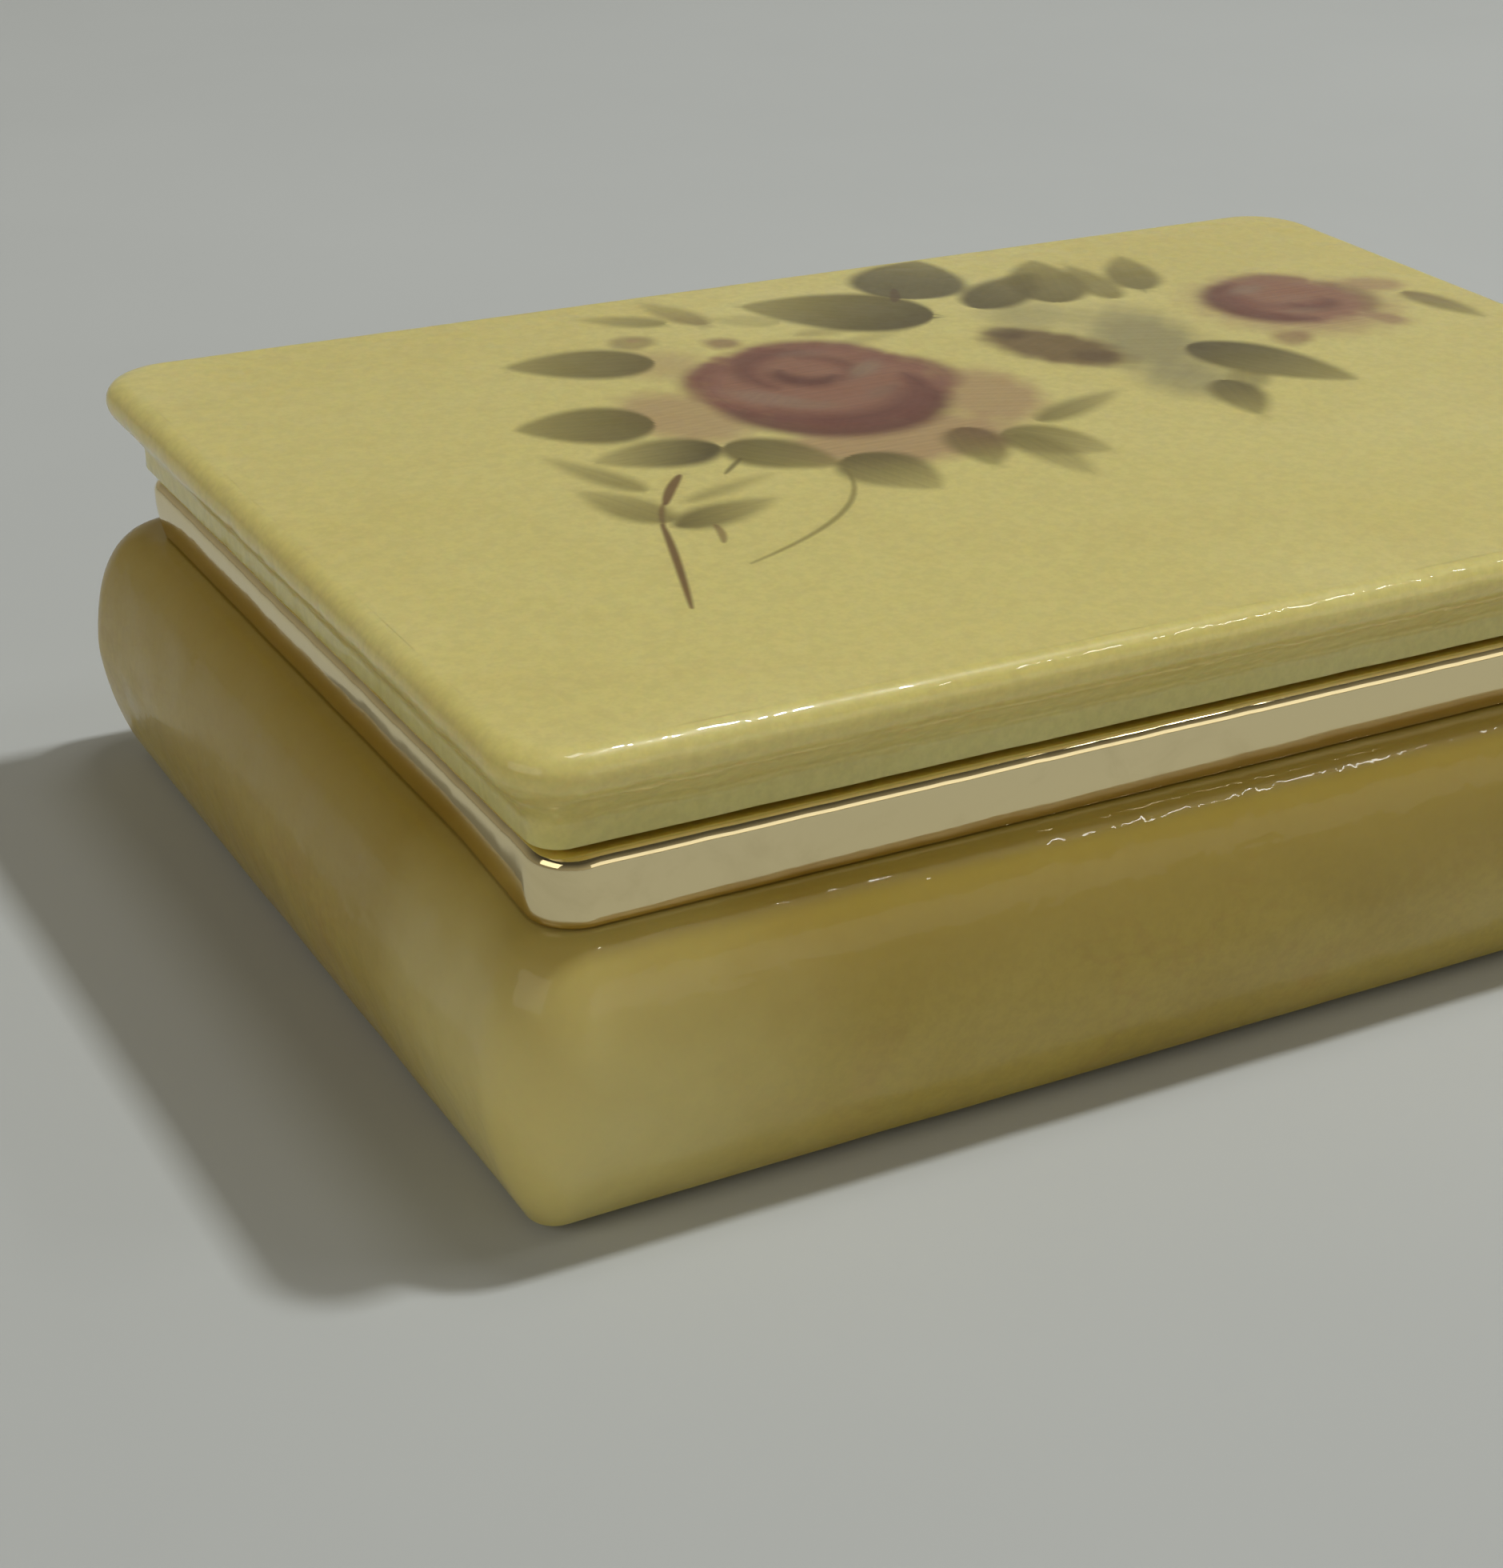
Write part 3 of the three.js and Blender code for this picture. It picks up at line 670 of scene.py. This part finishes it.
# stems: the points that a fine brush passed through, width, colour, cover
STEMS = [
    ([(-25.5, -1.3), (-27.2, -3.3), (-28.8, -5.6)], 0.75, SEPIA, 0.95),
    ([(-28.8, -5.4), (-29.8, -7.0), (-30.6, -8.9)], 0.40, SEPIA, 0.75),
    ([(-30.6, -8.6), (-32.2, -13.4), (-35.1, -21.1)], 0.55, SEPIA, 0.95),
    ([(-15.0, -5.0), (-17.2, -9.6), (-21.6, -13.4), (-28.6, -16.6)], 0.42, OLIVE, 0.7),
    ([(-27.6, -10.1), (-27.9, -11.5), (-28.5, -12.9)], 0.55, SEPIA, 0.7),
    ([(-20.4, -0.3), (-21.5, -1.3), (-22.7, -2.4)], 0.40, OLIVE_DEEP, 0.8),
    ([(9.6, 29.0), (8.6, 27.2), (7.8, 26.0)], 0.8, UMBER_DARK, 0.8),
]


def soft_step(value):
    value = np.clip(value * 0.5 + 0.5, 0, 1)
    return value * value * (3 - 2 * value)


def lay(paint, cover, colour):
    """Lays a stroke over what is there; the colour is kept multiplied by how much it covers."""
    cover = cover[:, None]
    paint *= 1 - cover
    paint[:, :3] += cover * colour
    paint[:, 3:] += cover


def bristles(across, seed):
    """Streaks that the hairs of the brush leave along a stroke, about 1."""
    return 0.86 + 0.28 * waves(across, (0.9, 0.53, 0.31), seed)


def leaf(at, root, tip, width, root_colour, tip_colour, cover, seed):
    """One press of a loaded brush: broad and dark at the root, drawn out to a paler tip."""
    run = np.array(tip) - root
    length = np.hypot(*run)
    run = run / length
    along = (at - root) @ run / length
    across = (at - root) @ np.array((-run[1], run[0]))
    inside = np.clip(along, 0, 1)
    half = width / 2 * np.sin(math.pi * inside ** 0.72) ** 0.72
    mask = soft_step((half - np.abs(across)) / BRUSH_EDGE) * ((along > 0) & (along < 1))
    fade = np.clip(1.25 * inside - 0.1 - 0.22 * across / (width / 2), 0, 1)[:, None]
    colour = (1 - fade) * root_colour + fade * np.array(tip_colour)
    return mask * cover * (1 - 0.3 * inside ** 3), colour * bristles(across, seed)[:, None]


def petal(at, centre, radius, start, stop, width, outer, inner, cover, seed):
    """A curved stroke, darker on its outer edge, thinning to nothing at both ends."""
    from_centre = at - centre
    reach = np.hypot(*from_centre.T)
    turn = (np.degrees(np.arctan2(from_centre[:, 1], from_centre[:, 0])) - start) % 360
    inside = np.clip(turn / (stop - start), 0, 1)
    half = width / 2 * np.sin(math.pi * inside) ** 0.6
    out = reach - radius
    mask = soft_step((half - np.abs(out)) / (1.4 * BRUSH_EDGE)) * (inside < 1)
    fade = np.clip(0.5 - out / width, 0, 1)[:, None]
    colour = (1 - fade) * outer + fade * np.array(inner)
    return mask * cover, colour * bristles(out * 1.3, seed)[:, None]


def dab(at, centre, halves, turn, colour, cover, soft, seed):
    """A soft oval touch of thin colour with an uneven edge."""
    angle = math.radians(turn)
    away = (at - centre) @ np.array([(math.cos(angle), -math.sin(angle)),
                                     (math.sin(angle), math.cos(angle))])
    ragged = 0.08 * (waves(at[:, 0] + at[:, 1], (3.7, 2.3), seed)
                     - waves(at[:, 1] - at[:, 0], (4.1, 2.9), seed + 7))
    distance = np.hypot(*(away / halves).T) + ragged
    mask = soft_step(2 * (1 - distance) / soft - 0.6)
    return mask * cover, np.array(colour) * bristles(away[:, 1], seed)[:, None]


def bend_through(points, steps=14):
    """Points of a smooth curve that passes through a few."""
    points = np.array(points)
    shares = np.linspace(0, 1, len(points))
    powers = np.polyfit(shares, points, len(points) - 1)
    return np.stack([np.polyval(powers[:, axis], np.linspace(0, 1, steps)) for axis in (0, 1)], 1)


def stem(at, path, width, colour, cover, seed):
    """A fine line along a curve that starts thin, thickens and lifts off."""
    curve = bend_through(path)
    mask = np.zeros(len(at))
    for i, (first, second) in enumerate(zip(curve, curve[1:])):
        run = second - first
        share = np.clip((at - first) @ run / (run @ run), 0, 1)
        distance = np.hypot(*(at - first - share[:, None] * run).T)
        progress = (i + share) / (len(curve) - 1)
        half = width / 2 * (0.35 + 0.65 * np.sin(math.pi * progress) ** 0.5)
        mask = np.maximum(mask, soft_step((half - distance) / 0.16))
    return mask * cover, np.repeat([colour], len(at), 0)


# every stroke in the order it goes down, which also gives it its seed
LAYERS = ((dab, WASHES), (leaf, LEAVES), (dab, SHADES), (petal, PETALS), (dab, LIGHTS), (stem, STEMS))
STROKES = [(stroke, args) for stroke, layer in LAYERS for args in layer]


def painting(at, only=None):
    """The paint at points on the lid, (x, y) each: red, green, blue and cover."""
    paint = np.zeros((len(at), 4))
    for seed, (stroke, args) in enumerate(STROKES):
        if only is None or stroke is only:
            cover, colour = stroke(at, *args, seed)
            lay(paint, cover, colour)
    return paint


# ---------------------------------------------------------------- lid

COARSE, FINE, FINEST = 1.6, 0.2, 0.1   # spacing of points on bare stone, on paint and on stems
FAINTEST = 0.004       # cover below which a place counts as bare
EDGE_MARGIN = 0.3      # how far inside the top's edge its own points keep


def lattice(step, low, high):
    """Points on a square lattice that holds every coarser one."""
    sides = [np.arange(math.ceil(a / step), math.floor(b / step) + 1) * step
             for a, b in zip(low, high)]
    return np.stack(np.meshgrid(*sides), -1).reshape(-1, 2)


def within(at, outline, offset, z):
    """How far points are inside an outline."""
    half = outline.half + offset
    radius = outline.corner(offset, z)
    away = np.abs(at - outline.centre) - half + radius
    return radius - np.hypot(*np.maximum(away, 0).T) - np.minimum(away.max(1), 0)


def top_points():
    """Where the lid's top has points: close together only where there is paint to hold."""
    half = LID.half + FLARE
    low, high = LID.centre - half, LID.centre + half
    fine = lattice(FINE, low, high)
    fine = fine[painting(fine)[:, 3] > FAINTEST]
    stems = np.concatenate([path for path, *_ in STEMS])
    finest = lattice(FINEST, stems.min(0) - 1, stems.max(0) + 1)
    finest = finest[painting(finest, only=stem)[:, 3] > FAINTEST]
    found = np.concatenate([lattice(COARSE, low, high), fine, finest])
    keys = np.unique(np.round(found / FINEST).astype(int), axis=0)
    found = keys * FINEST
    return found[within(found, LID, FLARE - LID_ROUND, LID_EDGE_Z) > EDGE_MARGIN]


def lid_rows():
    """Rows from the roof of the hollow, out over the seat and the neck, and up to the top's edge."""
    roof = LID_LOW + HOLLOW_DEPTH
    seat = LID_LOW + SEAT_DEPTH
    neck_top, widest = LID_LOW + NECK_HEIGHT, LID_LOW + FLARE_HEIGHT
    under = quarter((HOLLOW_OFFSET, roof - 1), (HOLLOW_OFFSET - 1, roof))[::-1]
    under += [(HOLLOW_OFFSET, seat), (SEAT_OFFSET, seat), (SEAT_OFFSET, LID_LOW)]
    shares = np.linspace(0, 1, 17)
    flare = [(FLARE * (1 - math.cos(math.pi * share)) / 2, neck_top + (widest - neck_top) * share)
             for share in shares[:-1]]
    side = [(-0.2, LID_LOW), (-0.06, LID_LOW + 0.06), (0, LID_LOW + 0.2)]
    side += flare + quarter((FLARE, widest), (FLARE - LID_ROUND, LID_EDGE_Z), 16)
    return [(COLLAR, *row) for row in under], [(LID, *row) for row in side]


def painted_lid():
    """The lid's stone; its top is a mesh of its own, fine where there is paint for it to hold."""
    under, side = lid_rows()
    points, faces = skin(under + side, carve=hand_carved(0.10, (13.0, 7.1, 4.3), 32))
    faces.pop()                       # the top is not one flat face
    # the rows next to the underside's outer edge are raised along the back, to clear the hinge
    for row in range(len(under) - 1, len(under) + 3):
        start = row * LOOP_SIZE
        back = slice(start + BACK_SIDE.start, start + BACK_SIDE.stop)
        points[back, 2] = np.maximum(points[back, 2], LID_LOW + SLOT_DEPTH)
    edge = len(points) - LOOP_SIZE
    inner = top_points()
    flat = np.concatenate([points[edge:, :2], inner])
    rim = [(i, (i + 1) % LOOP_SIZE) for i in range(LOOP_SIZE)]
    found = delaunay_2d_cdt([Vector(p) for p in flat], rim, [], 0, 1e-7)
    places = np.array([tuple(p) for p in found[0]])
    order = np.array([olds[0] for olds in found[3]])
    away = (places - LID.centre) / (LID.half + FLARE - LID_ROUND)
    crown = (LID_TOP - LID_EDGE_Z) * np.prod(np.clip(1 - away ** 2, 0, 1), axis=1)
    top = np.column_stack([places, LID_EDGE_Z + crown])
    # rim points keep their place in the side's last loop, and the others follow it
    renumber = np.where(order < LOOP_SIZE, edge + order, 0)
    extra = np.flatnonzero(order >= LOOP_SIZE)
    renumber[extra] = len(points) + np.arange(len(extra))
    points = np.concatenate([points, top[extra]])
    faces += renumber[np.array(found[2])].tolist()
    lid = piece("painted_lid", points, faces, [LID_STONE, HONED], "lid",
                ["alabaster_lid"], "lid_stone")
    paint = np.zeros((len(points), 4), np.float32)
    paint[edge:] = painting(points[edge:, :2])
    attribute = lid.data.attributes.new("paint", "FLOAT_COLOR", "POINT")
    attribute.data.foreach_set("color", paint.ravel())
    unpolished = (len(under) - 1) * LOOP_SIZE
    for face in lid.data.polygons:
        face.material_index = int(min(face.vertices) < unpolished)
    return lid


# ---------------------------------------------------------------- hinge

def knuckle(start, stop, chamfer=0.08):
    """A rolled knuckle on the hinge line, bored for the wire, with its ends broken."""
    rows = [(KNUCKLE_RADIUS - chamfer, start), (KNUCKLE_RADIUS, start + chamfer),
            (KNUCKLE_RADIUS, stop - chamfer), (KNUCKLE_RADIUS - chamfer, stop),
            (BORE_RADIUS, stop), (BORE_RADIUS, start)]
    return round_bar(rows, steps=40, closed=True)


def round_bar(rows, steps, closed):
    """A skin through circles on the hinge line, given as (radius, x) rows."""
    angles = np.linspace(0, 2 * math.pi, steps, endpoint=False)
    circle = np.stack([np.cos(angles), np.sin(angles)], 1)
    points = np.concatenate([
        np.column_stack([np.full(len(circle), x), HINGE_Y + radius * circle[:, 0],
                         HINGE_Z + radius * circle[:, 1]]) for radius, x in rows])
    count, size = len(rows), len(circle)
    ring = np.arange(size)
    following = np.roll(ring, -1)
    faces = []
    for row in range(count if closed else count - 1):
        low, high = row * size, (row + 1) % count * size
        faces += np.stack([low + ring, low + following, high + following, high + ring], 1).tolist()
    if not closed:
        faces += [ring[::-1].tolist(), (ring + (count - 1) * size).tolist()]
    return points, faces


def plate(low, high, bevel=0.1):
    """A thin plate between two corners, with every edge broken."""
    low, high = np.array(low), np.array(high)
    points, index = [], {}
    for corner in np.ndindex(2, 2, 2):
        at = np.where(corner, high, low)
        inward = np.where(corner, -bevel, bevel)
        for axis in range(3):
            index[corner, axis] = len(points)
            shift = inward.copy()
            shift[axis] = 0
            points.append(at + shift)
    faces = []
    for axis in range(3):
        u, v = (axis + 1) % 3, (axis + 2) % 3
        for side in (0, 1):
            face = []
            for a, b in ((0, 0), (1, 0), (1, 1), (0, 1)):
                corner = [0, 0, 0]
                corner[axis], corner[u], corner[v] = side, a, b
                face.append(index[tuple(corner), axis])
            faces.append(face if side else face[::-1])
        for a, b in ((0, 0), (0, 1), (1, 0), (1, 1)):   # the long bevels that run along this axis
            ends = []
            for side in (0, 1):
                corner = [0, 0, 0]
                corner[axis], corner[u], corner[v] = side, a, b
                ends.append(tuple(corner))
            face = [index[ends[0], u], index[ends[1], u], index[ends[1], v], index[ends[0], v]]
            faces.append(face if a == b else face[::-1])
    for corner in np.ndindex(2, 2, 2):
        face = [index[corner, axis] for axis in range(3)]
        faces.append(face if sum(corner) % 2 else face[::-1])
    return np.array(points), faces


def joined(parts):
    """Several skins as one."""
    points, faces, start = [], [], 0
    for part_points, part_faces in parts:
        points.append(part_points)
        faces += [[start + i for i in face] for face in part_faces]
        start += len(part_points)
    return np.concatenate(points), faces


def knuckle_spans(first):
    """The ends along X of every other knuckle, from the first one asked for."""
    pitch = 2 * BARREL_HALF / KNUCKLES
    for i in range(first, KNUCKLES, 2):
        start = -BARREL_HALF + i * pitch
        yield start + KNUCKLE_GAP / 2, start + pitch - KNUCKLE_GAP / 2


def leaf_parts(strip, first, tab_at):
    """A leaf: its strip, and for every other knuckle a tab, from tab_at(start, stop), and the roll."""
    parts = [plate(*strip)]
    for start, stop in knuckle_spans(first):
        parts.append(plate(*tab_at(max(start, -LEAF_HALF), min(stop, LEAF_HALF))))
        parts.append(knuckle(start, stop))
    return joined(parts)


def hinge():
    """Both leaves, and the wire between them with its ends hammered over into small heads."""
    _, front, low = (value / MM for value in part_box("hinge_leaf_body")[0])
    back = front + LEAF_THICKNESS
    strip_top = HINGE_Z - LEAF_DROP
    parts = leaf_parts(
        ((-LEAF_HALF, front, low), (LEAF_HALF, back, strip_top)), 0,
        lambda start, stop: ((start, front, strip_top - TAB_OVERLAP), (stop, back, HINGE_Z)))
    piece("box_leaf", *parts, [HINGE_BRASS], "box", ["hinge_leaf_body"], "hinge_brass")

    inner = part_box("hinge_leaf_lid")[0].y / MM
    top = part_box("hinge_leaf_lid")[1].z / MM
    tab_front = front + TAB_SETBACK
    parts = leaf_parts(
        ((-LEAF_HALF, inner, top - LEAF_THICKNESS), (LEAF_HALF, tab_front + STRIP_OVERLAP, top)), 1,
        lambda start, stop: ((start, tab_front, HINGE_Z), (stop, tab_front + LEAF_THICKNESS, top)))
    piece("lid_leaf", *parts, [HINGE_BRASS], "lid", ["hinge_leaf_lid"], "hinge_brass")

    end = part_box("hinge_pin")[1].x / MM
    head = [(0.2, end), (0.45, end - 0.05), (0.62, end - 0.14), (PIN_HEAD_RADIUS, end - 0.26),
            (PIN_HEAD_RADIUS, BARREL_HALF + 0.02), (PIN_RADIUS, BARREL_HALF + 0.02)]
    rows = [(radius, -x) for radius, x in head] + [(radius, x) for radius, x in head[::-1]]
    parts = round_bar(rows, steps=28, closed=False)
    piece("hinge_wire", *parts, [PIN_STEEL], "box", ["hinge_pin"], "pin_steel")


# ---------------------------------------------------------------- stage, light and camera

def floor():
    """A plain pale table top, five metres square."""
    half = 2.5
    mesh = bpy.data.meshes.new("table_top")
    mesh.from_pydata([(-half, -half, 0), (half, -half, 0), (half, half, 0), (-half, half, 0)],
                     [], [(0, 1, 2, 3)])
    obj = bpy.data.objects.new("table_top", mesh)
    bpy.context.scene.collection.objects.link(obj)
    shader = Shader("table_paint")
    tone = shader.mix(shader.noise(9, 4, 0.6), (0.525, 0.545, 0.540), (0.583, 0.604, 0.598))
    shader.set(Base_Color=tone, Roughness=0.9, Specular_IOR_Level=0.1)
    mesh.materials.append(shader.material)


def softbox(name, direction, distance, size, power, colour):
    """A rectangular lamp that looks at the box."""
    data = bpy.data.lights.new(name, "AREA")
    data.shape = "RECTANGLE"
    data.size, data.size_y = size
    data.energy = power
    data.color = colour
    lamp = bpy.data.objects.new(name, data)
    bpy.context.scene.collection.objects.link(lamp)
    towards = Vector(direction).normalized()
    lamp.location = towards * distance
    lamp.rotation_euler = towards.to_track_quat("Z", "Y").to_euler()


# the room's strength: the axis, where along it the change starts and ends, and the strength there
ROOM_RAMPS = (("Z", 0.15, 0.75, 0.34, 0.06), ("X", -1.0, 1.0, 0.65, 1.3))


def darker_overhead(nodes, links):
    """The room is bright low down, dim overhead, and dimmer on the left than on the right."""
    split = nodes.new("ShaderNodeSeparateXYZ")
    links.new(nodes.new("ShaderNodeTexCoord").outputs["Generated"], split.inputs[0])
    product = nodes.new("ShaderNodeMath")
    product.operation = "MULTIPLY"
    for slot, (axis, *ends) in enumerate(ROOM_RAMPS):
        ramp = nodes.new("ShaderNodeMapRange")
        links.new(split.outputs[axis], ramp.inputs["Value"])
        for name, value in zip(("From Min", "From Max", "To Min", "To Max"), ends):
            ramp.inputs[name].default_value = value
        links.new(ramp.outputs["Result"], product.inputs[slot])
    return product.outputs[0]


def lighting():
    """A small hard key, a strip and soft fills, in a dim room."""
    softbox("key", (0.385, -0.03, 0.92), 1.1, (0.08, 0.08), 5.2, (0.97, 0.99, 0.99))
    softbox("side_strip", (0.575, -0.27, 0.77), 1.2, (0.24, 0.025), 0.65, (1.0, 0.98, 0.95))
    softbox("overhead", (0.15, 0.05, 1.0), 1.3, (0.25, 0.25), 1.6, (1.0, 0.99, 0.97))
    softbox("fill", (-1.25, -0.40, 0.80), 2.2, (1.6, 1.2), 8.6, (1.0, 0.94, 0.82))
    softbox("front_fill", (0.60, -1.00, 0.30), 2.2, (1.4, 0.8), 2.4, (1.0, 0.98, 0.94))
    world = bpy.data.worlds.new("room")
    world.use_nodes = True
    nodes, links = world.node_tree.nodes, world.node_tree.links
    background = nodes["Background"]
    background.inputs["Color"].default_value = (1.0, 0.93, 0.74, 1)
    links.new(darker_overhead(nodes, links), background.inputs["Strength"])
    bpy.context.scene.world = world
    bpy.context.scene.view_settings.view_transform = "Standard"


CAMERA_AT = (-0.10908, -0.15829, 0.09675)
CAMERA_TURN = (-29.735, 26.516, -1.642)   # azimuth, elevation and roll, in degrees
CAMERA_LENS, CAMERA_SENSOR = 65.943, 36


def camera():
    """A camera to the front left of the box and above it, tilted a little."""
    azimuth, elevation, roll = (math.radians(angle) for angle in CAMERA_TURN)
    back = Vector((math.sin(azimuth) * math.cos(elevation),
                   -math.cos(azimuth) * math.cos(elevation), math.sin(elevation)))
    right = (-back).cross(Vector((0, 0, 1))).normalized()
    up = back.cross(right)
    tilted_right = math.cos(roll) * right - math.sin(roll) * up
    tilted_up = math.sin(roll) * right + math.cos(roll) * up
    data = bpy.data.cameras.new("photo_camera")
    data.sensor_width = CAMERA_SENSOR
    data.lens = CAMERA_LENS
    data.clip_start = 0.01
    obj = bpy.data.objects.new("photo_camera", data)
    bpy.context.scene.collection.objects.link(obj)
    turn = Matrix((tilted_right, tilted_up, back)).transposed().to_4x4()
    obj.matrix_world = Matrix.Translation(CAMERA_AT) @ turn
    bpy.context.scene.camera = obj


body = carved_body()
felt_pad()
collar_band()
painted_lid()
lid_liner()
hinge()
floor()
lighting()
camera()
